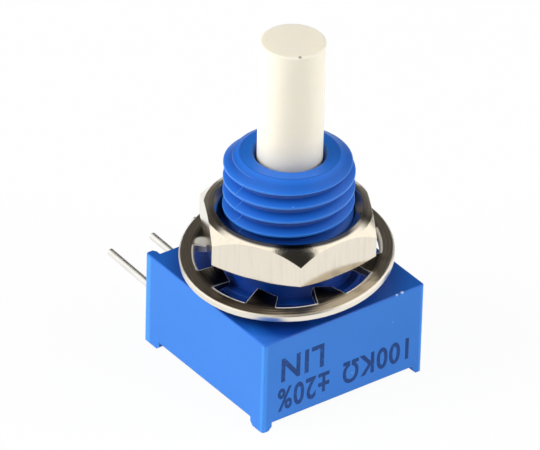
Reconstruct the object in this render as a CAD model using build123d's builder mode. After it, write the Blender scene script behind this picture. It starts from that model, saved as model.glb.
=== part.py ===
"""Panel mount potentiometer with a threaded bushing, a mounting nut and a toothed lock washer.

Millimetres. The origin lies on the shaft's axis at the panel seat. +Z runs along the shaft,
and the terminals leave the body towards +Y.
"""

import os
from math import cos, hypot, radians, sin, tan

from build123d import *

os.makedirs("parts", exist_ok=True)

# Body moulding
body_side = 9.525
body_depth = 4.6
body_edge_round = 0.15
front_edge_round = 0.08
side_wall = 0.75
front_wall = 0.75
seat_height = 0.38
seat_radius = 3.6
foot_height = 0.44
foot_width = 0.55
foot_length = 1.0
foot_slant = 0.2
rib_width = 0.5
rib_height = 0.25
rib_slant = 0.15
rear_recess = 0.25

# Bushing and its thread
bushing_radius = 3.175
bushing_length = 6.35
nose_width = 0.77
nose_length = 0.413
mouth_widening = 0.19
mouth_depth = 0.3
thread_pitch = 0.79375
thread_depth = 0.43
thread_start = 1.067
thread_crest_share = 0.125
thread_flank_angle = 30.0
thread_overrun = 0.04

# Shaft, journal and seal
shaft_radius = 1.5875
shaft_length = 12.6
shaft_end_chamfer = 0.08
journal_swell = 0.02
journal_clearance = 0.03
journal_taper_length = 1.0
journal_taper_sink = 0.05
gland_height = 2.2
gland_width = 0.75
gland_depth = 0.55
seal_clearance = 0.015
seal_width = 0.6

# Rotor under the shaft, and its stops
rotor_clearance = 0.05
rotor_thickness = 0.8
stop_reach = 0.45
stop_clearance = 0.08
stop_angle = 28.0
lug_angle = 28.0
stake_radius = 0.28
stake_offset = 1.25
stake_head_radius = 0.45
stake_head_height = 0.15
stake_clearance = 0.02

# Wiper spring
wiper_thickness = 0.1
wiper_base_length = 3.6
wiper_base_width = 1.4
finger_width = 0.7
finger_tip_length = 0.3
finger_tip_rise = 0.2
contact_gap = 0.02
contact_space = 0.85

# Ceramic plate and its films
plate_thickness = 0.635
plate_gap = 0.05
plate_ledge = 0.2
film_thickness = 0.05
track_margin = 0.55
track_width = 0.7
track_opening_angle = 70.0
film_gap = 0.35
collector_width = 0.6
collector_lead_width = 0.9
pad_width = 1.3
pad_length = 1.6
pad_overhang = 0.5
relief_height = 0.45

# Terminals and their joints
terminal_count = 3
terminal_pitch = 2.54
terminal_radius = 0.19
terminal_reach = 6.35
terminal_height = 0.27
terminal_inset = 0.7
terminal_rise_angle = 2.0
terminal_stub = 0.2
terminal_tip_break = 0.08
plate_hole_clearance = 0.04
solder_radius = 0.42
solder_height = 0.28
solder_gap = 0.005

# Rear seal
seal_recess = 0.03
notch_clearance = 0.05
lead_gap = 0.01

# Mounting nut
hex_sides = 6
nut_clearance = 0.05
nut_wall = 0.745
nut_thickness = 2.0
nut_washer_gap = 0.07
nut_corner_angle = -118.5
nut_top_land = 0.4
nut_top_angle = 25.0
nut_crown_width = 0.45
nut_crown_angle = 45.0
nut_bottom_land = 0.8
nut_bottom_angle = 22.0
nut_mouth_widening = 0.38
nut_mouth_depth = 0.3

# Lock washer, lying tilted on the seat
washer_thickness = 0.4
washer_ring_width = 0.76
washer_edge_break = 0.07
washer_seat_gap = 0.005
washer_shift_x = -0.09
washer_shift_y = -0.12
washer_tilt_angle_x = 5.28
washer_tilt_angle_y = 1.74
tooth_count = 8
tooth_first_angle = -97.5
tooth_clearance = 0.24
tooth_length = 1.03
tooth_root_width = 1.45
tooth_tip_width = 1.05
tooth_twist_angle = 20.0
tooth_neck = 0.1
tooth_seat = 0.15

# One overrun for every cut, and the slack for picking edges by place
overrun = 0.5
pick_slack = 0.001

# Heights and radii that follow from the sizes above
body_half = body_side / 2
front_z = -seat_height
rear_z = front_z - body_depth
foot_z = rear_z - foot_height
pocket_half = body_half - side_wall
rear_wall = side_wall - rear_recess
cavity_radius = pocket_half - plate_ledge
cavity_top_z = front_z - front_wall
rotor_top_z = cavity_top_z - rotor_clearance
rotor_bottom_z = rotor_top_z - rotor_thickness
film_top_z = rotor_bottom_z - contact_space
plate_top_z = film_top_z - film_thickness
plate_bottom_z = plate_top_z - plate_thickness
journal_radius = shaft_radius + journal_swell
bore_radius = journal_radius + journal_clearance
rotor_radius = cavity_radius - stop_reach - stop_clearance
track_outer = cavity_radius - track_margin
track_inner = track_outer - track_width
collector_outer = track_inner - film_gap
collector_inner = collector_outer - collector_width
terminal_z = rear_z + terminal_height
terminal_leg_y = pocket_half - terminal_inset
terminal_tip_y = body_half + terminal_reach
terminal_tip_z = terminal_z + terminal_reach * tan(radians(terminal_rise_angle))
terminal_xs = [(i - (terminal_count - 1) / 2) * terminal_pitch for i in range(terminal_count)]
notch_half = terminal_radius + notch_clearance
notch_top_z = terminal_z + notch_half
seal_rear_z = rear_z + seal_recess
stop_middle = 90.0
lug_middle = stop_middle + 180.0
tooth_tip = bushing_radius + tooth_clearance
ring_inner = tooth_tip + tooth_length
ring_outer = ring_inner + washer_ring_width

# The washer's lowest tooth corner lies on the seat, and the nut lies on the washer's high side
washer_slope_x = tan(radians(washer_tilt_angle_x))
washer_slope_y = tan(radians(washer_tilt_angle_y))
washer_slope = hypot(washer_slope_x, washer_slope_y)
tooth_turn = radians(tooth_twist_angle)
tooth_depth = tooth_tip_width * sin(tooth_turn) + washer_thickness * cos(tooth_turn)
tooth_drop = (tooth_depth - washer_thickness) / 2
washer_lift = tooth_drop + hypot(tooth_tip, tooth_tip_width / 2) * washer_slope + washer_seat_gap
nut_rest = washer_lift + washer_thickness + ring_inner * washer_slope + nut_washer_gap


def ring_piece(inner, outer, middle, angle):
    """Outline of a piece of a ring, from two radii, its middle direction and its angle."""
    first = middle - angle / 2
    last = middle + angle / 2
    with BuildLine() as outline:
        CenterArc((0, 0), inner, first, angle)
        CenterArc((0, 0), outer, first, angle)
        for side in (first, last):
            PolarLine((inner * cos(radians(side)), inner * sin(radians(side))), outer - inner, side)
    make_face(outline.edges())


def terminal_wire(x, radius):
    """Wire from its stub above the plate, round a mitred bend and through the wall to its rising tip."""
    stub = (x, terminal_leg_y, film_top_z + terminal_stub)
    with BuildLine(mode=Mode.PRIVATE) as route:
        Polyline(
            stub,
            (x, terminal_leg_y, terminal_z),
            (x, body_half, terminal_z),
            (x, terminal_tip_y, terminal_tip_z),
        )
    with BuildSketch(Plane(origin=stub, z_dir=(0, 0, -1)), mode=Mode.PRIVATE) as section:
        Circle(radius)
    return sweep(section.sketch, path=route.line, transition=Transition.RIGHT, mode=Mode.PRIVATE)


# Housing: body, ribs, feet, panel seat and bushing in one moulding
with BuildPart() as housing:
    with BuildSketch(Plane.XY.offset(rear_z)):
        Rectangle(body_side, body_side)
    extrude(amount=body_depth)

    # Four feet on the rear corners, slanted on their inner sides
    with BuildSketch(Plane.XY.offset(foot_z)):
        with GridLocations(body_side - foot_width, body_side - foot_length, 2, 2):
            Rectangle(foot_width, foot_length)
    extrude(amount=foot_height)
    soles = housing.faces().group_by(Axis.Z)[0]
    inner_edges = []
    for sole in soles:
        for across in (Axis.X, Axis.Y):
            inner_edges += sole.edges().filter_by(across).sort_by_distance((0, 0, foot_z))[:1]
    chamfer(inner_edges, foot_slant)

    # Ribs up both corners of the terminal side
    with BuildSketch(Plane.XY.offset(foot_z)):
        for side in (-1, 1):
            outer_x = side * body_half
            with BuildLine():
                Polyline(
                    (outer_x, body_half - rib_height),
                    (outer_x, body_half + rib_height),
                    (side * (body_half - rib_width + rib_slant), body_half + rib_height),
                    (side * (body_half - rib_width), body_half),
                    (side * (body_half - rib_width), body_half - rib_height),
                    close=True,
                )
            make_face()
    extrude(amount=body_depth + foot_height)

    # The terminal side stands back between the ribs
    with BuildSketch(Plane.XY.offset(rear_z)):
        with Locations((0, body_half - rear_recess / 2)):
            Rectangle(2 * (body_half - rib_width), rear_recess)
    extrude(amount=body_depth, mode=Mode.SUBTRACT)

    uprights = housing.edges().filter_by(Axis.Z).filter_by(
        lambda edge: abs(abs(edge.center().X) - body_half) < pick_slack and edge.length > body_depth
    )
    fillet(uprights, body_edge_round)
    front_edges = housing.faces().sort_by(Axis.Z)[-1].edges().filter_by(
        lambda edge: edge.center().Y < pocket_half
    )
    fillet(front_edges, front_edge_round)

    # Panel seat and bushing
    with BuildSketch(Plane.XY.offset(front_z)):
        Circle(seat_radius)
    extrude(amount=seat_height)
    with BuildSketch(Plane.XZ):
        with BuildLine():
            Polyline(
                (0, front_z),
                (bushing_radius, front_z),
                (bushing_radius, bushing_length - nose_length),
                (bushing_radius - nose_width, bushing_length),
                (0, bushing_length),
                close=True,
            )
        make_face()
    revolve(axis=Axis.Z)

    # Thread: one groove cut along a helix that runs out through the nose
    crest_half = thread_pitch * (1 - thread_crest_share) / 2
    flank = tan(radians(thread_flank_angle))
    with BuildLine(Plane.XY.offset(thread_start), mode=Mode.PRIVATE) as groove_path:
        Helix(thread_pitch, bushing_length + thread_pitch - thread_start, bushing_radius)
    with BuildSketch(Plane.XZ, mode=Mode.PRIVATE) as groove:
        with BuildLine():
            Polyline(
                (bushing_radius - thread_depth, thread_start - crest_half + thread_depth * flank),
                (bushing_radius + thread_overrun, thread_start - crest_half - thread_overrun * flank),
                (bushing_radius + thread_overrun, thread_start + crest_half + thread_overrun * flank),
                (bushing_radius - thread_depth, thread_start + crest_half - thread_depth * flank),
                close=True,
            )
        make_face()
    sweep(groove.sketch, path=groove_path.line, is_frenet=True, mode=Mode.SUBTRACT)

    # Bore with its widened mouth
    with BuildSketch(Plane.XZ):
        with BuildLine():
            Polyline(
                (0, cavity_top_z - overrun),
                (bore_radius, cavity_top_z - overrun),
                (bore_radius, bushing_length - mouth_depth),
                (bore_radius + mouth_widening, bushing_length),
                (bore_radius + mouth_widening, bushing_length + overrun),
                (0, bushing_length + overrun),
                close=True,
            )
        make_face()
    revolve(axis=Axis.Z, mode=Mode.SUBTRACT)

    # Rotor cavity with its stop, then the plate's pocket, the joints' relief and the lead notches
    with BuildSketch(Plane.XY.offset(plate_top_z)):
        Circle(cavity_radius)
    extrude(amount=cavity_top_z - plate_top_z, mode=Mode.SUBTRACT)
    with BuildSketch(Plane.XY.offset(rotor_bottom_z)):
        ring_piece(cavity_radius - stop_reach, cavity_radius + plate_ledge, stop_middle, stop_angle)
    extrude(amount=cavity_top_z - rotor_bottom_z)
    with BuildSketch(Plane.XY.offset(rear_z)):
        Rectangle(2 * pocket_half, 2 * pocket_half)
    extrude(amount=plate_top_z - rear_z, mode=Mode.SUBTRACT)
    relief_length = terminal_inset + pad_length - pad_overhang
    with BuildSketch(Plane.XY.offset(plate_top_z)):
        with Locations((0, pocket_half - relief_length / 2)):
            Rectangle(terminal_xs[-1] - terminal_xs[0] + pad_width + 2 * plate_gap, relief_length)
    extrude(amount=relief_height, mode=Mode.SUBTRACT)
    with BuildSketch(Plane.XY.offset(rear_z)):
        with Locations(*[(x, pocket_half + rear_wall / 2) for x in terminal_xs]):
            Rectangle(2 * notch_half, rear_wall)
    extrude(amount=notch_top_z - rear_z, mode=Mode.SUBTRACT)
housing.part.label = "housing"
export_step(housing.part, "parts/housing.step")

# Shaft: knob end, journal, seal groove and rotor flange in one moulding
with BuildPart() as shaft:
    taper_top_z = bushing_length - journal_taper_sink
    with BuildSketch(Plane.XZ):
        with BuildLine():
            Polyline(
                (0, rotor_bottom_z),
                (rotor_radius, rotor_bottom_z),
                (rotor_radius, rotor_top_z),
                (journal_radius, rotor_top_z),
                (journal_radius, gland_height),
                (journal_radius - gland_depth, gland_height),
                (journal_radius - gland_depth, gland_height + gland_width),
                (journal_radius, gland_height + gland_width),
                (journal_radius, taper_top_z - journal_taper_length),
                (shaft_radius, taper_top_z),
                (shaft_radius, shaft_length - shaft_end_chamfer),
                (shaft_radius - shaft_end_chamfer, shaft_length),
                (0, shaft_length),
                close=True,
            )
        make_face()
    revolve(axis=Axis.Z)

    # Stop lug on the rotor's rim
    with BuildSketch(Plane.XY.offset(rotor_bottom_z)):
        ring_piece(rotor_radius - stop_clearance, cavity_radius - stop_clearance, lug_middle, lug_angle)
    extrude(amount=rotor_thickness)

    # Two stakes with spread heads hold the wiper
    with BuildSketch(Plane.XY.offset(rotor_bottom_z)):
        with Locations((-stake_offset, 0), (stake_offset, 0)):
            Circle(stake_radius)
    extrude(amount=-wiper_thickness)
    with BuildSketch(Plane.XY.offset(rotor_bottom_z - wiper_thickness)):
        with Locations((-stake_offset, 0), (stake_offset, 0)):
            Circle(stake_head_radius)
    extrude(amount=-stake_head_height)
shaft.part.label = "shaft"
export_step(shaft.part, "parts/shaft.step")

# Seal: rubber ring, pressed flat between the shaft's groove and the bore
with BuildPart() as shaft_seal:
    seal_inner = journal_radius - gland_depth
    seal_outer = bore_radius - seal_clearance
    with BuildSketch(Plane.XZ):
        with Locations(((seal_inner + seal_outer) / 2, gland_height + gland_width / 2)):
            Rectangle(seal_outer - seal_inner, seal_width)
    revolve(axis=Axis.Z)
shaft_seal.part.label = "shaft_seal"
export_step(shaft_seal.part, "parts/shaft_seal.step")

# Wiper: one folded strip with a track finger and a collector finger, on a staked base
with BuildPart() as wiper:
    track_middle = (track_outer + track_inner) / 2
    collector_middle = (collector_outer + collector_inner) / 2
    base_z = rotor_bottom_z - wiper_thickness
    touch_z = film_top_z + contact_gap
    with BuildSketch(Plane.YZ):
        with BuildLine():
            Polyline(
                (-track_middle - finger_tip_length, touch_z + finger_tip_rise),
                (-track_middle, touch_z),
                (-wiper_base_width / 2, base_z),
                (wiper_base_width / 2, base_z),
                (collector_middle, touch_z),
                (collector_middle + finger_tip_length, touch_z + finger_tip_rise),
            )
            offset(amount=wiper_thickness, side=Side.LEFT)
        make_face()
    extrude(amount=finger_width / 2, both=True)
    with BuildSketch(Plane.XY.offset(base_z)):
        Rectangle(wiper_base_length, wiper_base_width)
    extrude(amount=wiper_thickness)
    with BuildSketch(Plane.XY.offset(base_z - overrun)):
        with Locations((-stake_offset, 0), (stake_offset, 0)):
            Circle(stake_radius + stake_clearance)
    extrude(amount=wiper_thickness + 2 * overrun, mode=Mode.SUBTRACT)
wiper.part.label = "wiper"
export_step(wiper.part, "parts/wiper.step")

# Ceramic plate, with a hole for each terminal
with BuildPart() as substrate:
    plate_side = 2 * (pocket_half - plate_gap)
    with BuildSketch(Plane.XY.offset(plate_bottom_z)):
        Rectangle(plate_side, plate_side)
        with Locations(*[(x, terminal_leg_y) for x in terminal_xs]):
            Circle(terminal_radius + plate_hole_clearance, mode=Mode.SUBTRACT)
    extrude(amount=plate_thickness)
substrate.part.label = "substrate"
export_step(substrate.part, "parts/substrate.step")

# Resistive track: a horseshoe that opens towards the terminals
with BuildPart() as resistive_track:
    with BuildSketch(Plane.XY.offset(plate_top_z)):
        ring_piece(track_inner, track_outer, lug_middle, 360 - track_opening_angle)
    extrude(amount=film_thickness)
resistive_track.part.label = "resistive_track"
export_step(resistive_track.part, "parts/resistive_track.step")

# Collector ring, with its lead through the track's opening to the middle terminal
with BuildPart() as collector_ring:
    lead_end = terminal_leg_y + pad_overhang
    with BuildSketch(Plane.XY.offset(plate_top_z)):
        Circle(collector_outer)
        with Locations((0, lead_end / 2)):
            Rectangle(collector_lead_width, lead_end)
        Circle(collector_inner, mode=Mode.SUBTRACT)
        with Locations((0, terminal_leg_y)):
            Circle(terminal_radius + plate_hole_clearance, mode=Mode.SUBTRACT)
    extrude(amount=film_thickness)
collector_ring.part.label = "collector_ring"
export_step(collector_ring.part, "parts/collector_ring.step")

# End pads: from the track's ends to the outer terminals
for name, x in (("end_pad_1", terminal_xs[0]), ("end_pad_3", terminal_xs[-1])):
    with BuildPart() as end_pad:
        with BuildSketch(Plane.XY.offset(plate_top_z)):
            with Locations((x, terminal_leg_y + pad_overhang - pad_length / 2)):
                Rectangle(pad_width, pad_length)
            Circle(track_outer, mode=Mode.SUBTRACT)
            with Locations((x, terminal_leg_y)):
                Circle(terminal_radius + plate_hole_clearance, mode=Mode.SUBTRACT)
        extrude(amount=film_thickness)
    end_pad.part.label = name
    export_step(end_pad.part, f"parts/{name}.step")

# Terminals: bent wires with broken tip edges, and the joint at each stub
for number, x in enumerate(terminal_xs, start=1):
    with BuildPart() as terminal:
        add(terminal_wire(x, terminal_radius))
        chamfer(terminal.faces().sort_by(Axis.Y)[-1].edges(), terminal_tip_break)
    terminal.part.label = f"terminal_{number}"
    export_step(terminal.part, f"parts/terminal_{number}.step")

    with BuildPart() as solder:
        with BuildSketch(Plane((x, terminal_leg_y, film_top_z), x_dir=(1, 0, 0), z_dir=(0, -1, 0))):
            with BuildLine():
                Polyline(
                    (terminal_radius + solder_gap, 0),
                    (solder_radius, 0),
                    (terminal_radius + solder_gap, solder_height),
                    close=True,
                )
            make_face()
        revolve(axis=Axis((x, terminal_leg_y, film_top_z), (0, 0, 1)))
    solder.part.label = f"solder_{number}"
    export_step(solder.part, f"parts/solder_{number}.step")

# Rear seal: epoxy behind the plate and in the lead notches, poured round the wires
with BuildPart() as rear_seal:
    with BuildSketch(Plane.XY.offset(seal_rear_z)):
        Rectangle(2 * pocket_half, 2 * pocket_half)
    extrude(amount=plate_bottom_z - seal_rear_z)
    with BuildSketch(Plane.XY.offset(seal_rear_z)):
        with Locations(*[(x, pocket_half + rear_wall / 2) for x in terminal_xs]):
            Rectangle(2 * notch_half, rear_wall)
    extrude(amount=notch_top_z - seal_rear_z)
    for x in terminal_xs:
        add(terminal_wire(x, terminal_radius + lead_gap), mode=Mode.SUBTRACT)
rear_seal.part.label = "rear_seal"
export_step(rear_seal.part, "parts/rear_seal.step")

# Mounting nut, chamfered at both ends, with a countersunk hole
with BuildPart() as hex_nut:
    nut_bore = bushing_radius + nut_clearance
    nut_half = nut_bore + nut_wall
    nut_reach = nut_half / cos(radians(180 / hex_sides)) + overrun
    nut_top = nut_rest + nut_thickness
    top_land = nut_bore + nut_top_land
    top_crown = top_land + nut_crown_width
    crown_z = nut_top - nut_crown_width * tan(radians(nut_top_angle))
    bottom_land = nut_bore + nut_bottom_land
    with BuildSketch(Plane.XY.offset(nut_rest)):
        RegularPolygon(nut_half, hex_sides, major_radius=False, rotation=nut_corner_angle)
    extrude(amount=nut_thickness)
    with BuildSketch(Plane.XZ):
        with BuildLine():
            Polyline(
                (0, nut_rest),
                (bottom_land, nut_rest),
                (nut_reach, nut_rest + (nut_reach - bottom_land) * tan(radians(nut_bottom_angle))),
                (nut_reach, crown_z - (nut_reach - top_crown) * tan(radians(nut_crown_angle))),
                (top_crown, crown_z),
                (top_land, nut_top),
                (0, nut_top),
                close=True,
            )
        make_face()
    revolve(axis=Axis.Z, mode=Mode.INTERSECT)
    with BuildSketch(Plane.XZ):
        with BuildLine():
            Polyline(
                (0, nut_rest),
                (nut_bore + nut_mouth_widening, nut_rest),
                (nut_bore, nut_rest + nut_mouth_depth),
                (nut_bore, nut_top - nut_mouth_depth),
                (nut_bore + nut_mouth_widening, nut_top),
                (0, nut_top),
                close=True,
            )
        make_face()
    revolve(axis=Axis.Z, mode=Mode.SUBTRACT)
hex_nut.part.label = "hex_nut"
export_step(hex_nut.part, "parts/hex_nut.step")

# Lock washer: a stamped ring with twisted inner teeth, tilted on the bushing
washer_plane = Plane(
    origin=(washer_shift_x, washer_shift_y, washer_lift),
    x_dir=(1, 0, washer_slope_x),
    z_dir=(-washer_slope_x, -washer_slope_y, 1),
)
with BuildPart() as lock_washer:
    with BuildSketch(washer_plane):
        Circle(ring_outer)
        Circle(ring_inner, mode=Mode.SUBTRACT)
    extrude(amount=washer_thickness)
    chamfer(lock_washer.edges().filter_by(GeomType.CIRCLE), washer_edge_break)
    with BuildSketch(washer_plane):
        with PolarLocations(ring_inner + (tooth_seat - tooth_neck) / 2, tooth_count, tooth_first_angle):
            Rectangle(tooth_seat + tooth_neck, tooth_root_width)
    extrude(amount=washer_thickness)
    for index in range(tooth_count):
        heading = radians(tooth_first_angle + index * 360 / tooth_count)
        outward = Vector(cos(heading), sin(heading), 0)
        across = Vector(-sin(heading), cos(heading), 0)
        lean = across * cos(tooth_turn) - Vector(0, 0, sin(tooth_turn))
        mid_height = Vector(0, 0, washer_thickness / 2)
        tip = Plane(outward * tooth_tip + mid_height, x_dir=lean, z_dir=outward)
        root = Plane(outward * (ring_inner - tooth_neck) + mid_height, x_dir=across, z_dir=outward)
        with BuildSketch(Plane(washer_plane.location * tip.location)):
            Rectangle(tooth_tip_width, washer_thickness)
        with BuildSketch(Plane(washer_plane.location * root.location)):
            Rectangle(tooth_root_width, washer_thickness)
        loft()
lock_washer.part.label = "lock_washer"
export_step(lock_washer.part, "parts/lock_washer.step")
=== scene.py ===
# %% [markdown]
# ## A panel control, dressed for its picture
#
# The solids of this little control are already packed as a fixed frame: a blue moulded body with a
# threaded bushing, an ivory shaft, a nut, a lock washer and three pins. This lesson adds what solids
# don't carry: finishes, ink, mould flash, the thread inside the nut, light and a camera. Everything
# is in metres in the frame's own axes, so nothing needs fitting. One number, MM, turns the
# millimetres of a drawing into metres.

# %% Load the frame
from math import ceil, cos, pi, radians, sin, tan

import bmesh
import bpy
from mathutils import Matrix, Vector


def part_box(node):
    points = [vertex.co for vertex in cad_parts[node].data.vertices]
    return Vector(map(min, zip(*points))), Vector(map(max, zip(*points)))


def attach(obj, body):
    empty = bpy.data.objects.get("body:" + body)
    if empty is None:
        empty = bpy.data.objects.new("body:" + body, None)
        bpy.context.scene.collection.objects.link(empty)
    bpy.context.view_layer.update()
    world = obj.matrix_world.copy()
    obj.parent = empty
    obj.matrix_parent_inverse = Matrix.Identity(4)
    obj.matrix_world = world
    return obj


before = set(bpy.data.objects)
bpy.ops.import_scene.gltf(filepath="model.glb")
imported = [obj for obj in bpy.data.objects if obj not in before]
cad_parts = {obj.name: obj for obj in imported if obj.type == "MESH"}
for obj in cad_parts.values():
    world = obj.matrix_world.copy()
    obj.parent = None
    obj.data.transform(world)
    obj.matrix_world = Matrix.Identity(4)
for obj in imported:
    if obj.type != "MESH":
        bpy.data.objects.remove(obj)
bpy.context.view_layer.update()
MM = 0.001
scene = bpy.context.scene
scene.view_settings.view_transform = "Standard"
print("solids:", sorted(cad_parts))

# %% [markdown]
# ## The camera
#
# The picture was taken with a long lens from the front left, looking down by about a third of a
# right angle. A camera could be aimed by hand with a Track To constraint, but its roll would then be
# free. The three directions of its axes and its place say everything at once, so they go straight
# into its matrix: right, up and back are the columns.

# %% Stand the camera where the photographer stood
CAMERA_PLACE = Vector((-184.0084, -242.6009, 202.3527)) * MM
CAMERA_RIGHT = Vector((0.80739, -0.58956, 0.02343))
CAMERA_UP = Vector((0.30827, 0.45537, 0.83523))
CAMERA_BACK = Vector((-0.50308, -0.66713, 0.5494))

lens = bpy.data.cameras.new("photo_lens")
lens.sensor_width = 36.0
lens.lens = 506.25
lens.clip_start = 0.02
camera = bpy.data.objects.new("photo_camera", lens)
axes = Matrix((CAMERA_RIGHT, CAMERA_UP, CAMERA_BACK)).transposed().to_4x4()
camera.matrix_world = Matrix.Translation(CAMERA_PLACE) @ axes
scene.collection.objects.link(camera)
scene.camera = camera
print("camera at", [round(value, 4) for value in camera.location], "m")

# %% [markdown]
# ## Shader trees written as sums
#
# A finish is a web of small nodes. Wiring them by hand in the editor is fine for one, but a dozen
# finishes read better as sums: `0.3 + 0.1 * grain`. A small class holds one socket and answers +, -
# and * by adding a Math node, or a Vector Math node when the socket carries a vector. The second
# class owns the tree. Its method add makes any node: settings first, because they can change which
# sockets exist, then the values or links of its sockets. The other methods are short names for the
# nodes used most. A colour is written as red, green and blue, and add puts the alpha of 1 behind it.

# %% A socket that takes part in arithmetic
class Signal:
    """One output socket of a shader tree."""

    def __init__(self, web, socket):
        self.web = web
        self.socket = socket

    def join(self, operation, first, second):
        """A Math or Vector Math node on two values, at least one of them a signal."""
        kinds = [value.socket.type for value in (first, second) if isinstance(value, Signal)]
        if "VECTOR" not in kinds:
            return self.web.math(operation, first, second)
        sockets = {
            i: (value, value, value) if isinstance(value, (int, float)) else value
            for i, value in enumerate((first, second))
        }
        return self.web.add("ShaderNodeVectorMath", {"operation": operation}, sockets)

    def __add__(self, other):
        return self.join("ADD", self, other)

    def __radd__(self, other):
        return self.join("ADD", other, self)

    def __sub__(self, other):
        return self.join("SUBTRACT", self, other)

    def __rsub__(self, other):
        return self.join("SUBTRACT", other, self)

    def __mul__(self, other):
        return self.join("MULTIPLY", self, other)

    def __rmul__(self, other):
        return self.join("MULTIPLY", other, self)


print("a Signal answers + - and *")

# %% A tree of nodes
ALPHA = 1.0


class Web:
    """The shader tree of a material or of the world."""

    def __init__(self, owner):
        owner.use_nodes = True
        self.tree = owner.node_tree
        self.tree.nodes.clear()

    def add(self, kind, settings=None, sockets=None, out=0):
        """One node: its type, its settings, what its sockets get, and which output to keep."""
        node = self.tree.nodes.new(kind)
        for name, value in (settings or {}).items():
            setattr(node, name, value)
        for name, value in (sockets or {}).items():
            target = self.find(node.inputs, name)
            if isinstance(value, Signal):
                self.tree.links.new(value.socket, target)
            elif target.type == "RGBA":
                target.default_value = (*value, ALPHA)
            else:
                target.default_value = value
        return Signal(self, self.find(node.outputs, out)) if node.outputs else None

    @staticmethod
    def find(sockets, name):
        """A socket by number, identifier or name."""
        if isinstance(name, int):
            return sockets[name]
        by_identifier = (socket for socket in sockets if socket.identifier == name)
        return next(by_identifier, None) or sockets[name]

    def math(self, operation, *values):
        """A Math node, such as ABSOLUTE or MAXIMUM."""
        return self.add("ShaderNodeMath", {"operation": operation}, dict(enumerate(values)))

    def measure(self, operation, *vectors):
        """A Vector Math node that gives a number: LENGTH, DISTANCE or DOT_PRODUCT."""
        sockets = dict(enumerate(vectors))
        return self.add("ShaderNodeVectorMath", {"operation": operation}, sockets, "Value")

    def mix(self, amount, first, second):
        """Colours go through a Mix node, because a Math node would turn them grey."""
        sockets = {"Factor_Float": amount, "A_Color": first, "B_Color": second}
        return self.add("ShaderNodeMix", {"data_type": "RGBA"}, sockets, "Result_Color")

    def spread(self, value, low, high, start=0.0, end=1.0):
        """Value, taken from the span low..high to the span start..end and held there."""
        sockets = {
            "Value": value, "From Min": low, "From Max": high, "To Min": start, "To Max": end
        }
        return self.add("ShaderNodeMapRange", {"clamp": True}, sockets, "Result")

    def noise(self, place, scale, detail=2.0, roughness=0.5):
        """Soft random grain, 0 to 1, at so many lumps to a millimetre."""
        sockets = {"Vector": place, "Scale": scale, "Detail": detail, "Roughness": roughness}
        return self.add("ShaderNodeTexNoise", {}, sockets, "Fac")


print("a Web adds nodes to a tree")

# %% [markdown]
# ## A finish
#
# Each finish starts as one Principled shader. What is the same all over the surface is typed on the
# shader's own sockets, and only what varies is wired. Object coordinates are used throughout and
# turned to millimetres, so a grain of 6 means six lumps to a millimetre on every piece, and the
# pattern stays with the piece when it turns or slides. Edges for painted highlights come from the
# Bevel node: it gives the normal of a rounded edge, and where that leaves the true normal there is an
# edge.

# %% The class that makes a finish
BEVEL_SAMPLES = 6
EDGE_BEGINS = 0.985
EDGE_FULL = 0.93


class Finish(Web):
    """A material with one Principled shader, and its place on the piece in millimetres."""

    def __init__(self, name, **constants):
        self.material = bpy.data.materials.new(name)
        super().__init__(self.material)
        self.shader = self.tree.nodes.new("ShaderNodeBsdfPrincipled")
        output = self.tree.nodes.new("ShaderNodeOutputMaterial")
        self.tree.links.new(self.shader.outputs[0], output.inputs["Surface"])
        for key, value in constants.items():
            self.shader_input(key).default_value = value
        self.place = self.add("ShaderNodeTexCoord", out="Object") * (1.0 / MM)
        parts = self.tree.nodes.new("ShaderNodeSeparateXYZ")
        self.tree.links.new(self.place.socket, parts.inputs[0])
        self.x, self.y, self.z = [Signal(self, parts.outputs[i]) for i in range(3)]

    def shader_input(self, key):
        """The shader's input for a name in Python's spelling, such as base_color."""
        return self.shader.inputs[key.replace("_", " ").title().replace("Ior", "IOR")]

    def feed(self, **wires):
        """Links what varies to the shader."""
        for key, signal in wires.items():
            self.tree.links.new(signal.socket, self.shader_input(key))

    def rounded(self, edge):
        """The normal of a surface whose edges are rounded by so many millimetres."""
        return self.add("ShaderNodeBevel", {"samples": BEVEL_SAMPLES}, {"Radius": edge * MM})

    def bump(self, height, depth, edge=0.0):
        """Feeds the normal: a height, 0 to 1, stands for depth in millimetres, over rounded edges."""
        sockets = {"Height": height, "Distance": depth * MM}
        if edge:
            sockets["Normal"] = self.rounded(edge)
        self.feed(normal=self.add("ShaderNodeBump", {}, sockets))

    def edge_band(self, edge):
        """1 on edges within so many millimetres, where the rounded normal leaves the true one."""
        true_normal = self.add("ShaderNodeNewGeometry", out="Normal")
        match = self.measure("DOT_PRODUCT", self.rounded(edge), true_normal)
        return self.spread(match, EDGE_BEGINS, EDGE_FULL)

    def near(self, point, reach, soft):
        """1 within reach of a point, falling to 0 over the soft distance, in millimetres."""
        away = self.measure("DISTANCE", self.place, point)
        return self.spread(away, reach, reach + soft, 1.0, 0.0)

    def radius(self, middle=(0.0, 0.0, 0.0)):
        """How far a place lies from an upright axis, in millimetres."""
        return self.measure("LENGTH", (self.place - middle) * (1.0, 1.0, 0.0))


def cover(finish, *nodes):
    """Puts a finish on CAD nodes."""
    for node in nodes:
        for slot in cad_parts[node].material_slots:
            slot.material = finish.material
    print(finish.material.name, "on", ", ".join(nodes))


print("finishes round edges with", BEVEL_SAMPLES, "samples")
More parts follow.
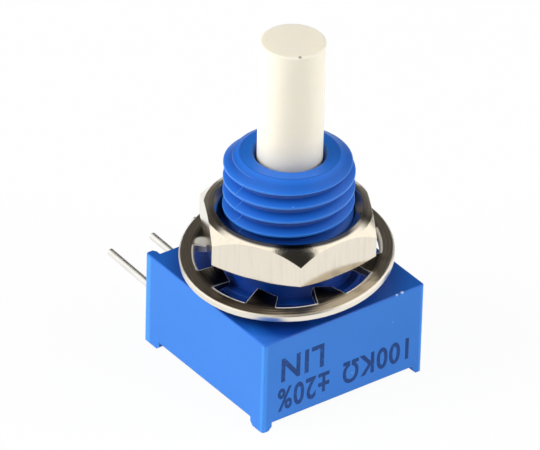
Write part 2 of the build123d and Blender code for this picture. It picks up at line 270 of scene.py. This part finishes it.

# %% [markdown]
# ## Blue moulded plastic
#
# The body and bushing are one moulding in a glass-filled blue resin with a satin skin. Its colour
# drifts slowly, the mould has left a very fine grain, and a few pale specks of dust lie on it. The
# drift and the specks are mixed into the colour, the grain goes to bump and roughness. The walls of
# the body are painted a little greener than the bushing, as a painted sheen. Soft light from two
# sides leaves the hollows and edges flatter than they look in the picture, so painted shade and
# painted highlights are mixed into the colour: painted shade in the thread's grooves, low on the
# bushing and under the washer, and a painted highlight of paler blue along edges and on the body's
# upright corners.

# %% Where shade and highlights are painted on the blue
BODY_HALF = 4.7625
BODY_TOP = -0.40
# Pairs of heights or radii in millimetres, from where a mask is 0 to where it is full.
THREAD_TOP = 6.3, 6.0
THREAD_FOOT = 0.2, 0.5
BUSHING_SIDE = 3.4, 3.3
BUSHING_LOW = 4.8, 1.4
SEAT_TOP = 1.7, 1.3
SEAT_FOOT = BODY_TOP - 0.04, BODY_TOP
SEAT_COVERED = 6.0, 4.7
CREASE_INSIDE = 2.36, 2.40
CREASE_OUTSIDE = 2.46, 2.42
CREASE_FOOT = 6.2, 6.3
WALL_TOP = BODY_TOP, BODY_TOP - 0.12
CORNERS = 2.0 * BODY_HALF - 0.26, 2.0 * BODY_HALF - 0.12
GROOVE_FLOOR, GROOVE_LIP = 2.74, 3.12
# How dark the painted shade is in each place, and at most.
GROOVE_SHADE, BUSHING_SHADE, SEAT_SHADE, WASHER_SHADE, MOST_SHADE = 0.70, 0.35, 0.8, 0.6, 0.9
UNDER_WASHER = (-3.2, -4.2, BODY_TOP)
LONG_LINT = (3.43, -4.72, -0.38)
SHORT_LINT = (3.10, -4.74, -0.40)


def painted_shade_on(blue, reach):
    """How much shade is painted in the grooves, low on the bushing and on the seat."""
    thread = blue.spread(blue.z, *THREAD_TOP) * blue.spread(blue.z, *THREAD_FOOT)
    groove = blue.spread(reach, GROOVE_FLOOR, GROOVE_LIP, GROOVE_SHADE, 0.0) * thread
    bushing = blue.spread(reach, *BUSHING_SIDE)
    low_bushing = blue.spread(blue.z, *BUSHING_LOW, 0.0, BUSHING_SHADE) * bushing
    seat = blue.spread(blue.z, *SEAT_TOP) * blue.spread(blue.z, *SEAT_FOOT)
    under_nut = SEAT_SHADE * blue.spread(reach, *SEAT_COVERED)
    under_washer = WASHER_SHADE * blue.near(UNDER_WASHER, 0.4, 1.1)
    shade = groove + low_bushing + seat * (under_nut + under_washer)
    return blue.spread(shade, 0.0, MOST_SHADE, 0.0, MOST_SHADE)


def crease_on(blue, reach):
    """1 on the fine line round the bushing's end."""
    line = blue.spread(reach, *CREASE_INSIDE) * blue.spread(reach, *CREASE_OUTSIDE)
    return line * blue.spread(blue.z, *CREASE_FOOT)


def corner_highlight_on(blue):
    """1 along the upright corners of the body, where a paler blue is painted as a highlight."""
    square = blue.math("ABSOLUTE", blue.x) + blue.math("ABSOLUTE", blue.y)
    return blue.spread(square, *CORNERS) * blue.spread(blue.z, *WALL_TOP)


def dust_on(blue):
    """Pale specks here and there, and two bits of lint on the near edge."""
    specks = blue.spread(blue.noise(blue.place, 3.2, 1.0), 0.80, 0.83) * 0.30
    lint = blue.near(LONG_LINT, 0.05, 0.06) + blue.near(SHORT_LINT, 0.03, 0.05)
    return blue.spread(specks + lint, 0.0, 1.0)


print("body is", 2.0 * BODY_HALF, "mm square")


# %% Blue plastic
def blue_plastic():
    """Satin blue resin."""
    blue = Finish("blue_plastic", ior=1.5, specular_ior_level=0.5)
    drift = blue.spread(blue.noise(blue.place, 0.35, 2.0), 0.3, 0.7)
    grain = blue.noise(blue.place, 9.0, 3.0, 0.6)
    reach = blue.radius()
    painted_wall_sheen = blue.spread(blue.z, *WALL_TOP)
    shade = painted_shade_on(blue, reach)
    edges = blue.edge_band(0.10) * blue.spread(shade, 0.2, 0.4, 0.35, 0.0)
    colour = blue.mix(drift, (0.011, 0.136, 0.59), (0.015, 0.150, 0.63))
    # Painted sheen: the body's walls are painted a little greener than the bushing.
    colour = blue.mix(0.5 * painted_wall_sheen, colour, (0.014, 0.208, 0.65))
    # Painted shade: the grooves, the bushing's foot and the seat under the nut and washer go dark.
    colour = blue.mix(shade, colour, (0.002, 0.026, 0.21))
    colour = blue.mix(0.5 * crease_on(blue, reach), colour, (0.002, 0.030, 0.24))
    # Painted highlight: a paler blue along edges, less where painted shade lies.
    colour = blue.mix(edges, colour, (0.11, 0.38, 0.82))
    # Painted highlight: a paler blue on the body's upright corners.
    colour = blue.mix(0.7 * corner_highlight_on(blue), colour, (0.05, 0.31, 0.93))
    blue.feed(base_color=blue.mix(dust_on(blue), colour, (0.55, 0.66, 0.82)))
    blue.feed(roughness=0.36 + 0.12 * grain)
    blue.bump(grain, 0.004, 0.06)
    return blue


cover(blue_plastic(), "housing")

# %% [markdown]
# ## Ivory moulded shaft
#
# The shaft is an unpainted white resin, which looks warm because light goes a little way in before
# it comes back. A touch of subsurface scattering gives that softness. Its surface has faint rings
# from the turning of the mould core, and it is coloured a little greyer towards where it enters the
# bushing. One dark speck sits on the rim of its flat end, as moulded-in dirt often does.

# %% Ivory plastic
SPECK = (-0.60, -1.36, 12.58)


def ivory_plastic():
    """Warm white resin, a little translucent."""
    ivory = Finish(
        "ivory_plastic", ior=1.5, subsurface_weight=0.3, subsurface_scale=0.8 * MM,
        subsurface_radius=(1.0, 0.8, 0.5),
    )
    drift = ivory.noise(ivory.place, 0.5, 3.0)
    rings = ivory.noise(ivory.place * (0.4, 0.4, 7.0), 1.0, 2.0)
    grain = ivory.noise(ivory.place, 10.0, 2.0)
    greyer_low = 0.42 * ivory.spread(ivory.z + 0.6 * drift, 8.0, 6.4)
    colour = ivory.mix(drift, (0.83, 0.775, 0.64), (0.86, 0.815, 0.69))
    colour = ivory.mix(greyer_low, colour, (0.56, 0.52, 0.45))
    speck = 0.75 * ivory.near(SPECK, 0.05, 0.05)
    ivory.feed(base_color=ivory.mix(speck, colour, (0.12, 0.10, 0.09)))
    ivory.feed(roughness=0.34 + 0.14 * grain)
    ivory.bump(0.6 * rings + 0.4 * grain, 0.004, 0.08)
    return ivory


cover(ivory_plastic(), "shaft")

# %% [markdown]
# ## Nickel on the nut
#
# The nut is cut from hexagon brass bar and plated with bright nickel, a warm silver. The bar's
# drawing marks stay on the six flats as faint upright streaks, so the noise is stretched along the
# axis. They move the roughness more than the colour: the nut then mirrors the pale table softly, in
# streaks. In the mouth of the tapped hole the metal is painted nearly black inside a radius, as
# painted shade and dark reflection. At two opposite places round the mouth the painted shade is
# thinner.

# %% Nickel plate
MOUTH_SHADE_FULL = 3.77
MOUTH_SHADE_END = 3.87
MOUTH_SHADE = 0.96
THIN_SHADE_WAY = (-0.80, 0.60)
THIN_SHADE_FROM = 2.9
THIN_SHADE_FULL = 3.5
SHADE_KEPT = 0.35


def nickel_plate():
    """Bright nickel over drawn hexagon bar."""
    nickel = Finish("nickel_plate", metallic=1.0)
    streaks = nickel.noise(nickel.place * (1.0, 1.0, 0.08), 5.0, 3.0, 0.6)
    clouds = nickel.noise(nickel.place, 0.9, 3.0)
    stained = 0.18 * nickel.spread(streaks, 0.50, 0.72)
    # Painted shade and dark reflection: the mouth of the tapped hole goes nearly black, thinner at
    # two places.
    along = nickel.math("ABSOLUTE", THIN_SHADE_WAY[0] * nickel.x + THIN_SHADE_WAY[1] * nickel.y)
    shade_kept_share = nickel.spread(along, THIN_SHADE_FROM, THIN_SHADE_FULL, 1.0, SHADE_KEPT)
    mouth_shade = nickel.spread(nickel.radius(), MOUTH_SHADE_FULL, MOUTH_SHADE_END, MOUTH_SHADE, 0.0)
    colour = nickel.mix(clouds, (0.80, 0.735, 0.62), (0.85, 0.795, 0.69))
    colour = nickel.mix(stained, colour, (0.60, 0.54, 0.45))
    nickel.feed(base_color=nickel.mix(mouth_shade * shade_kept_share, colour, (0.02, 0.025, 0.045)))
    nickel.feed(roughness=0.08 + 0.12 * streaks)
    nickel.bump(streaks, 0.002, 0.05)
    return nickel


nickel = nickel_plate()
cover(nickel, "hex_nut")

# %% [markdown]
# ## Plate on the lock washer
#
# The washer is stamped from spring steel, so its flat keeps fine rings from the strip's grinding and
# its plating is duller and browner than the nut's. Rings around the axis come from a wave in the
# radius, broken up by noise so that they don't look turned on a lathe. The bent teeth are painted
# dark, as painted shade under the nut. To find them, the direction round the washer is counted in
# teeth and wrapped to the nearest one, which gives the distance from that tooth's middle line. The
# outer rim is painted brighter, as a painted reflection, and painted highlights lie on the cut edges,
# on the lip between the teeth and on the end of one tooth. There the metal is made matt and less
# metallic, so it catches light from the lamps instead of the dark room.

# %% Where the washer's teeth stand
WASHER_MIDDLE = (-0.09, -0.12, 0.0)
FIRST_TOOTH = -97.5
TEETH = 8
TOOTH_HALF = 0.725
RING_INNER = 4.445
RING_OUTER = 5.205


def across_tooth(plate, reach):
    """How far a place lies from the middle line of the nearest tooth, in millimetres."""
    heading = plate.math("ARCTAN2", plate.y - WASHER_MIDDLE[1], plate.x - WASHER_MIDDLE[0])
    teeth_round = heading * (TEETH / (2.0 * pi)) - FIRST_TOOTH * TEETH / 360.0
    from_nearest = plate.math("ABSOLUTE", plate.math("WRAP", teeth_round, 0.5, -0.5))
    return from_nearest * (2.0 * pi / TEETH) * reach


print(TEETH, "teeth,", 360.0 / TEETH, "degrees apart")

# %% Washer plate
STAIN = (-4.35, -2.35, 0.4)
TOOTH_GLINT_AT = (-2.98, 2.95, 0.45)
WAVES = 38.0
TOOTH_SOFT = 0.1
TOOTH_FADE = 0.30
TOOTH_SHADE = 0.9
# Radii in millimetres, from where a mask is 0 to where it is full.
RIM = RING_OUTER - 0.09, RING_OUTER - 0.04
LIP = RING_INNER + 0.17, RING_INNER + 0.12


def washer_plate():
    """Dull nickel over ground spring steel."""
    plate = Finish("washer_plate")
    wander = plate.noise(plate.place, 0.8, 2.0)
    fine = plate.noise(plate.place, 7.0, 3.0, 0.6)
    rings = plate.math("SINE", (plate.radius() + 0.25 * wander) * WAVES) * 0.5 + 0.5
    lines = 0.6 * rings + 0.4 * fine
    reach = plate.radius(WASHER_MIDDLE)
    across = across_tooth(plate, reach)
    blotches = 0.4 * plate.spread(wander, 0.56, 0.72)
    soil = plate.spread(blotches + plate.near(STAIN, 0.9, 1.6), 0.0, 1.0)
    inside = plate.spread(reach, RING_INNER, RING_INNER + TOOTH_FADE, TOOTH_SHADE, 0.0)
    tooth = plate.spread(across, TOOTH_HALF + TOOTH_SOFT, TOOTH_HALF - TOOTH_SOFT) * inside
    rim = plate.spread(reach, *RIM)
    lip = plate.spread(reach, *LIP) * plate.spread(across, TOOTH_HALF, TOOTH_HALF + TOOTH_SOFT)
    edges = plate.edge_band(0.06) * plate.spread(rim, 1.0, 0.0)
    tooth_glint = plate.near(TOOTH_GLINT_AT, 0.40, 0.10) * tooth
    # Painted highlights on the lip, on cut edges and on the end of one tooth: pale, matt and less
    # metallic.
    painted_glints = plate.spread(0.9 * lip + 0.9 * edges + tooth_glint, 0.0, 1.0)
    colour = plate.mix(lines, (0.45, 0.395, 0.325), (0.58, 0.525, 0.445))
    colour = plate.mix(soil, colour, (0.12, 0.10, 0.08))
    # Painted shade: the teeth under the nut are painted nearly black.
    colour = plate.mix(tooth, colour, (0.05, 0.045, 0.04))
    # Painted reflection: the outer rim is painted brighter.
    colour = plate.mix(rim, colour, (0.88, 0.83, 0.74))
    plate.feed(base_color=plate.mix(painted_glints, colour, (0.90, 0.87, 0.80)))
    plate.feed(metallic=1.0 - 0.8 * painted_glints)
    plate.feed(roughness=0.24 + 0.14 * fine + 0.20 * painted_glints)
    plate.bump(lines, 0.006, 0.07)
    return plate


cover(washer_plate(), "lock_washer")

# %% [markdown]
# ## Tinned pins and solder
#
# The pins are copper wire dipped in tin, which freezes with soft ripples and goes matt in air. The
# same kind of finish serves the solder inside, with a brighter skin, so one function makes both.

# %% Tin and solder
def tin(name, light, dark, rough, depth):
    """Frozen tin: soft ripples of a depth in millimetres and a matt bloom."""
    skin = Finish(name, metallic=1.0)
    ripple = skin.noise(skin.place * (1.0, 0.35, 1.0), 2.6, 3.0)
    bloom = skin.noise(skin.place, 6.0, 2.0)
    skin.feed(base_color=skin.mix(skin.spread(ripple, 0.35, 0.65), dark, light))
    skin.feed(roughness=rough + 0.16 * bloom)
    skin.bump(ripple, depth)
    return skin


cover(
    tin("tinned_wire", (0.93, 0.92, 0.90), (0.84, 0.83, 0.80), 0.32, 0.004),
    "terminal_1", "terminal_2", "terminal_3",
)
cover(
    tin("solder", (0.82, 0.82, 0.80), (0.68, 0.68, 0.67), 0.16, 0.012),
    "solder_1", "solder_2", "solder_3",
)

# %% [markdown]
# ## The epoxy at the back
#
# Liquid epoxy closes the back of the case and holds the pins. It sets with a glassy skin that dips
# and swells a little and traps fine bubbles. Its colour is a dark blue-grey.

# %% Epoxy
def epoxy():
    """Cast resin with a few bubbles under a glassy skin."""
    cast = Finish("epoxy", ior=1.54)
    cloud = cast.noise(cast.place, 0.6, 3.0)
    cells = cast.add(
        "ShaderNodeTexVoronoi", {}, {"Vector": cast.place, "Scale": 1.6}, "Distance"
    )
    bubbles = cast.spread(cells, 0.10, 0.16, 1.0, 0.0)
    colour = cast.mix(cloud, (0.012, 0.030, 0.085), (0.020, 0.048, 0.125))
    cast.feed(base_color=cast.mix(0.4 * bubbles, colour, (0.10, 0.15, 0.26)))
    cast.feed(roughness=0.16 + 0.12 * cloud)
    cast.bump(0.7 * cloud - 0.3 * bubbles, 0.05)
    return cast


cover(epoxy(), "rear_seal")

# %% [markdown]
# ## The works inside
#
# Nobody sees these while the case is whole, but a reader who hides the housing should find real
# parts: a white ceramic plate, dark fired resistance film, silver conductor film, a spring contact
# and a rubber ring. Each is a two-colour grain with its own gloss, so one function makes them all.

# %% Inner finishes
def grained(name, first, second, scale, rough, metallic=0.0):
    """A finish with a fine two-colour grain."""
    skin = Finish(name, metallic=metallic)
    grain = skin.noise(skin.place, scale, 4.0, 0.6)
    skin.feed(base_color=skin.mix(skin.spread(grain, 0.3, 0.7), first, second))
    skin.feed(roughness=rough + 0.2 * (grain - 0.5))
    skin.bump(grain, 0.006)
    return skin


cover(grained("ceramic", (0.72, 0.70, 0.66), (0.80, 0.79, 0.76), 4.0, 0.55), "substrate")
cover(
    grained("resistive_film", (0.030, 0.026, 0.024), (0.060, 0.052, 0.046), 8.0, 0.45),
    "resistive_track",
)
cover(
    grained("conductor_film", (0.60, 0.59, 0.56), (0.72, 0.71, 0.69), 9.0, 0.40, 0.9),
    "collector_ring", "end_pad_1", "end_pad_3",
)
cover(grained("spring_alloy", (0.72, 0.55, 0.32), (0.80, 0.64, 0.40), 3.0, 0.24, 1.0), "wiper")
cover(
    grained("seal_rubber", (0.018, 0.018, 0.019), (0.034, 0.033, 0.033), 5.0, 0.6), "shaft_seal"
)

# %% [markdown]
# ## Ink on the near face
#
# Such a control is stamped with its value in dark ink, here upside down as the picture shows it: the
# reading direction runs along -X and the tops of the letters point down. What is stamped here is
# generic: a resistance, a tolerance and a taper. Each block starts as a Text object, becomes a mesh,
# and is stretched to the height and width of a stamp's narrow letters. A decal would need an image,
# while a film of ink a hundredth of a millimetre thick is a real piece of the model.

# %% Ink finish
def stamp_ink():
    """Thin dark ink that lets a little of the blue through."""
    ink = Finish("stamp_ink", ior=1.45, specular_ior_level=0.25)
    worn = ink.noise(ink.place, 5.0, 3.0, 0.6)
    wash = ink.spread(ink.noise(ink.place, 0.7, 1.0), 0.3, 0.7)
    dense = ink.mix(wash, (0.012, 0.052, 0.215), (0.008, 0.044, 0.180))
    thin = 0.7 * ink.spread(worn, 0.52, 0.75)
    ink.feed(base_color=ink.mix(thin, dense, (0.030, 0.120, 0.42)))
    ink.feed(roughness=0.42 + 0.16 * worn)
    return ink


ink = stamp_ink()
print(ink.material.name, "is mixed")


# %% Put a mesh on a body
def add_piece(name, mesh, finish, body):
    """Puts a mesh, already in its place, into the scene with its finish, riding on a body."""
    mesh.name = name
    mesh.materials.clear()
    mesh.materials.append(finish.material)
    piece = bpy.data.objects.new(name, mesh)
    scene.collection.objects.link(piece)
    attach(piece, body)
    print(name, "has", len(mesh.polygons), "faces and rides on", body)
    return piece


# %% Stamp the words
FACE_Y = -BODY_HALF
INK_ROOT = 0.002
INK_FILM = 0.010


def words_as_mesh(words):
    """The mesh of a Text object one unit high."""
    letters = bpy.data.curves.new("letters", "FONT")
    letters.body = words
    letters.extrude = 0.005
    letters.resolution_u = 5
    letters.space_character = 1.12
    letters.offset = 0.022
    holder = bpy.data.objects.new("letters", letters)
    scene.collection.objects.link(holder)
    bpy.context.view_layer.update()
    flattened = holder.evaluated_get(bpy.context.evaluated_depsgraph_get())
    mesh = bpy.data.meshes.new_from_object(flattened)
    bpy.data.objects.remove(holder)
    bpy.data.curves.remove(letters)
    return mesh


def stamp(name, words, starts, ends, tops, feet):
    """Words on the -Y face, from X = starts to ends, with tops and feet at two heights Z."""
    mesh = words_as_mesh(words)
    low = [min(vertex.co[i] for vertex in mesh.vertices) for i in range(3)]
    high = [max(vertex.co[i] for vertex in mesh.vertices) for i in range(3)]
    for vertex in mesh.vertices:
        along, up, out = [(vertex.co[i] - low[i]) / (high[i] - low[i]) for i in range(3)]
        vertex.co = Vector((
            starts + along * (ends - starts),
            FACE_Y + INK_ROOT - out * INK_FILM,
            feet + up * (tops - feet),
        )) * MM
    add_piece(name, mesh, ink, "case")


stamp("stamp_value", "100KΩ", starts=3.92, ends=-0.02, tops=-4.46, feet=-3.15)
stamp("stamp_tolerance", "±20%", starts=-0.84, ends=-3.90, tops=-4.52, feet=-3.22)
stamp("stamp_taper", "LIN", starts=-1.20, ends=-3.72, tops=-2.86, feet=-1.52)

# %% [markdown]
# ## Flash along the mould's parting line
#
# A screw thread on a moulding comes from two half moulds that close on the bushing. Where they meet,
# a hair of resin creeps out and leaves a thin fin up each side, across every crest and groove. The
# fin has to follow the thread's outline at its own direction, so the outline is worked out from the
# same pitch, depth and flank angle that cut the thread, and a narrow strip is built on it. The fin
# and the nut's thread in the next step are both rows of four-cornered sections, so one function
# joins them.

# %% The thread's outline at one direction
PITCH = 0.79375
GROOVE_START = 1.067
CREST = 3.175
ROOT = 2.745
CREST_FLAT = 0.125
FLANK = tan(radians(30.0))
GROOVE_HALF = PITCH * (1.0 - CREST_FLAT) / 2
FLOOR_HALF = GROOVE_HALF - (CREST - ROOT) * FLANK


def thread_outline(turn, low, high):
    """(radius, height) pairs up the thread at a direction given as a share of a turn."""
    places = [(CREST, low)]
    centre = GROOVE_START + turn * PITCH
    while centre - GROOVE_HALF < high:
        places += [
            (CREST, centre - GROOVE_HALF), (ROOT, centre - FLOOR_HALF),
            (ROOT, centre + FLOOR_HALF), (CREST, centre + GROOVE_HALF),
        ]
        centre += PITCH
    return [(radius, height) for radius, height in places if low <= height <= high]


print("groove is", round(2 * GROOVE_HALF, 3), "mm wide, its floor", round(2 * FLOOR_HALF, 3), "mm")


# %% Join a row of sections
def join_sections(shape, sections):
    """Joins four-cornered sections with faces and closes both ends."""
    for before, after in zip(sections, sections[1:]):
        for i in range(4):
            j = (i + 1) % 4
            shape.faces.new((before[i], before[j], after[j], after[i]))
    shape.faces.new(sections[0][::-1])
    shape.faces.new(sections[-1])


def as_mesh(shape, name):
    """The mesh of a finished shape, with its faces turned outwards."""
    bmesh.ops.recalc_face_normals(shape, faces=shape.faces)
    mesh = bpy.data.meshes.new(name)
    shape.to_mesh(mesh)
    shape.free()
    return mesh


print("sections have four corners")

# %% Build the two fins
FLASH_HALF = 0.025
FLASH_TIP_HALF = FLASH_HALF * 0.4
FLASH_PROUD = 0.022
FLASH_ROOT = 0.05
FLASH_LOW = 1.15
FLASH_HIGH = 5.90


def flash_fin(shape, side):
    """Adds a fin at one side of the bushing, +1 or -1 along X."""
    sections = []
    for radius, height in thread_outline(0.0 if side > 0 else 0.5, FLASH_LOW, FLASH_HIGH):
        foot, tip = radius - FLASH_ROOT, radius + FLASH_PROUD
        corners = [
            (foot, -FLASH_HALF), (tip, -FLASH_TIP_HALF), (tip, FLASH_TIP_HALF), (foot, FLASH_HALF)
        ]
        sections.append([
            shape.verts.new(Vector((side * out, side * wide, height)) * MM) for out, wide in corners
        ])
    join_sections(shape, sections)


fins = bmesh.new()
flash_fin(fins, -1)
flash_fin(fins, 1)
# The fin is a paler blue: thin resin, and a painted highlight where it catches light.
thin_highlit_blue = grained("flash_plastic", (0.07, 0.27, 0.75), (0.10, 0.32, 0.80), 6.0, 0.4)
flash = add_piece("mould_flash", as_mesh(fins, "mould_flash"), thin_highlit_blue, "case")

# %% [markdown]
# ## The thread inside the nut
#
# The solid nut has a plain bore that clears the bushing, so that it can slide as a part. A real one
# has a thread, and from above its first turn shows in the countersink. It is one ridge swept along a
# helix: a four-cornered section is carried round in small steps and rises by one pitch a turn. It
# keeps in step with the bushing's groove and a few hundredths clear of it, and fades out at both
# ends like a tapped thread.

# %% Sweep the ridge
RIDGE_TIP = 2.80
RIDGE_BED = 3.27
RIDGE_GAP = 0.035
RIDGE_ABOVE_FOOT = 0.30
RIDGE_BELOW_MOUTH = 0.62
STEPS_TO_A_TURN = 40
FADE_TURNS = 0.4
LEAST_GROWTH = 0.05

nut_low, nut_high = [corner[2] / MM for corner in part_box("hex_nut")]
first_turn = (nut_low + RIDGE_ABOVE_FOOT - GROOVE_START) / PITCH
last_turn = (nut_high - RIDGE_BELOW_MOUTH - GROOVE_START) / PITCH
steps = ceil((last_turn - first_turn) * STEPS_TO_A_TURN)


def ridge_half(radius):
    """Half the ridge's height at a radius: the groove's half width less the gap."""
    return FLOOR_HALF + (radius - ROOT) * FLANK - RIDGE_GAP


ridge = bmesh.new()
sections = []
for step in range(steps + 1):
    turn = first_turn + (last_turn - first_turn) * step / steps
    growth = min(1.0, (turn - first_turn) / FADE_TURNS, (last_turn - turn) / FADE_TURNS)
    tip = RIDGE_BED - (RIDGE_BED - RIDGE_TIP) * max(growth, LEAST_GROWTH)
    height = GROOVE_START + turn * PITCH
    angle = 2 * pi * turn
    corners = [
        (RIDGE_BED, -ridge_half(RIDGE_BED)), (tip, -ridge_half(tip)),
        (tip, ridge_half(tip)), (RIDGE_BED, ridge_half(RIDGE_BED)),
    ]
    sections.append([
        ridge.verts.new(Vector((out * cos(angle), out * sin(angle), height + up)) * MM)
        for out, up in corners
    ])
join_sections(ridge, sections)
nut_thread = add_piece("nut_thread", as_mesh(ridge, "nut_thread"), nickel, "nut")

# %% [markdown]
# ## The table and the room
#
# The picture is a catalogue shot: a white sweep, a soft box on each side, and a dark room. The table
# is a big plane under the feet. Seen by the camera or in a mirror it glows white, mixed with a plain
# diffuse white that keeps a breath of shadow. The room is white to the camera. For mirrors it has
# parts, each a mask made from three directions: towards the camera, to the camera's left, and up.
# Low down it is as white as the table, but not far behind the part. A bright panel stands at each
# side and a grey wall behind the camera, and the rest is dim behind and dark overhead. That is what
# gives metal its black and bright bands. An image of a studio would do this too, but no image is
# needed.

# %% A white table
TABLE_Z = -5.42
TABLE_SIDE = 3000.0
TABLE_GLOW = 0.95
WHITE = (1.0, 1.0, 1.0)
TABLE_WHITE = (0.90, 0.90, 0.90)


def seen_directly(web):
    """Two signals: 1 for rays from the camera, and 1 for rays from mirrors and through glass."""
    paths = web.tree.nodes.new("ShaderNodeLightPath")
    camera_ray, glossy, through = [
        Signal(web, paths.outputs[name])
        for name in ("Is Camera Ray", "Is Glossy Ray", "Is Transmission Ray")
    ]
    return camera_ray, web.math("MAXIMUM", glossy, through)


table_material = bpy.data.materials.new("white_table")
table_web = Web(table_material)
to_camera, to_mirror = seen_directly(table_web)
matt = table_web.add("ShaderNodeBsdfDiffuse", {}, {"Color": TABLE_WHITE})
glow = table_web.add("ShaderNodeEmission", {}, {"Color": WHITE, "Strength": 1.0})
share = table_web.math("MAXIMUM", to_camera, to_mirror) * TABLE_GLOW
table_skin = table_web.add("ShaderNodeMixShader", {}, {0: share, 1: matt, 2: glow})
table_web.add("ShaderNodeOutputMaterial", {}, {"Surface": table_skin})

half = TABLE_SIDE / 2
table_corners = ((-half, -half), (half, -half), (half, half), (-half, half))
table_mesh = bpy.data.meshes.new("table")
table_mesh.from_pydata(
    [Vector((x, y, TABLE_Z)) * MM for x, y in table_corners], [], [(0, 1, 2, 3)]
)
table_mesh.materials.append(table_material)
table = bpy.data.objects.new("table", table_mesh)
scene.collection.objects.link(table)
print("table at", TABLE_Z, "mm")

# %% The room's directions
TOWARDS_CAMERA = Vector((CAMERA_BACK.x, CAMERA_BACK.y, 0.0)).normalized()
LEFT_OF_CAMERA = TOWARDS_CAMERA.cross(Vector((0.0, 0.0, 1.0)))
world = bpy.data.worlds.new("room")
scene.world = world
room = Web(world)
to_camera, to_mirror = seen_directly(room)
look = room.add("ShaderNodeTexCoord", out="Generated")
rise, front, side = [
    room.measure("DOT_PRODUCT", look, direction)
    for direction in ((0.0, 0.0, 1.0), TOWARDS_CAMERA, LEFT_OF_CAMERA)
]
print("left of the camera is", [round(value, 3) for value in LEFT_OF_CAMERA])

# %% The room
AMBIENT = (0.06, 0.06, 0.062)
DARK = (0.02, 0.02, 0.02)
DIM_LEFT = (0.105, 0.095, 0.085)
DIM_LOW = (0.16, 0.15, 0.14)
GREY_WALL = (0.50, 0.47, 0.41)
PANEL = (1.25, 1.22, 1.16)
# Pairs along rise, front or side, from where a mask is 0 to where it is full.
SWEEP_RISE, SWEEP_FRONT = (0.22, 0.08), (-0.84, -0.70)
WALL_RISE, WALL_FRONT = (0.80, 0.70), (0.55, 0.70)
PANELS_FRONT = 0.66, 0.56
LEFT_SIDE, LEFT_BACK, LEFT_SLANT = (0.09, 0.13), (-0.52, -0.42), -0.10
RIGHT_SIDE, RIGHT_BACK, RIGHT_SLANT = (-0.26, -0.31), (-0.68, -0.58), 0.34
DIM_SIDE = -0.30, -0.05
DARK_RISE = 0.3, 0.9
LOW_RISE = 0.48, 0.36


def panel(edge, back, slant):
    """1 on a bright panel: from a slanting upright edge outwards, and not far behind or in front."""
    inside = room.spread(side + slant * front, *edge) * room.spread(front, *back)
    return inside * room.spread(front, *PANELS_FRONT)


panels = panel(LEFT_SIDE, LEFT_BACK, LEFT_SLANT) + panel(RIGHT_SIDE, RIGHT_BACK, RIGHT_SLANT)
view = room.mix(room.spread(side, *DIM_SIDE), DARK, DIM_LEFT)
view = room.mix(room.spread(rise, *DARK_RISE), view, DARK)
view = room.mix(room.spread(rise, *LOW_RISE), view, DIM_LOW)
view = room.mix(room.spread(front, *WALL_FRONT) * room.spread(rise, *WALL_RISE), view, GREY_WALL)
view = room.mix(panels, view, PANEL)
view = room.mix(room.spread(rise, *SWEEP_RISE) * room.spread(front, *SWEEP_FRONT), view, WHITE)
light = room.mix(to_camera, room.mix(to_mirror, AMBIENT, view), WHITE)
sky = room.add("ShaderNodeBackground", {}, {"Color": light, "Strength": 1.0})
room.add("ShaderNodeOutputWorld", {}, {"Surface": sky})
print("room is white to the camera, dim behind and dark overhead to mirrors")

# %% [markdown]
# ## Soft boxes
#
# Two large area lamps stand left and right of the camera, a little above the part. Their places are
# given as a turn from the camera's own direction and a rise, which is how a photographer would say
# it. A lamp's watts are worked out from the brightness wanted on a face square to it: at level 1 a
# colour renders as it is written. Mirrors see the room's panels, so the lamps are hidden from them.

# %% Place the lamps
MIDDLE = Vector((0.0, 0.0, 3.0)) * MM
BOX_AWAY = 0.50
BOX_WIDTH = 0.50
BOX_HEIGHT = 0.40


def soft_box(name, turn, climb, level):
    """An area lamp that faces the part; turn to the camera's left and climb are in degrees."""
    flat = TOWARDS_CAMERA * cos(radians(turn)) + LEFT_OF_CAMERA * sin(radians(turn))
    away = flat * cos(radians(climb)) + Vector((0.0, 0.0, sin(radians(climb))))
    lamp = bpy.data.lights.new(name, "AREA")
    lamp.shape = "RECTANGLE"
    lamp.size = BOX_WIDTH
    lamp.size_y = BOX_HEIGHT
    lamp.energy = level * pi * pi * BOX_AWAY * BOX_AWAY
    box = bpy.data.objects.new(name, lamp)
    box.location = MIDDLE + away * BOX_AWAY
    box.rotation_euler = away.to_track_quat("Z", "Y").to_euler()
    box.visible_glossy = False
    scene.collection.objects.link(box)
    place = [round(value, 3) for value in box.location]
    print(name, "at", place, "gives", round(lamp.energy, 2), "W")


soft_box("left_box", turn=77.0, climb=28.0, level=1.53)
soft_box("right_box", turn=-80.0, climb=31.0, level=1.02)
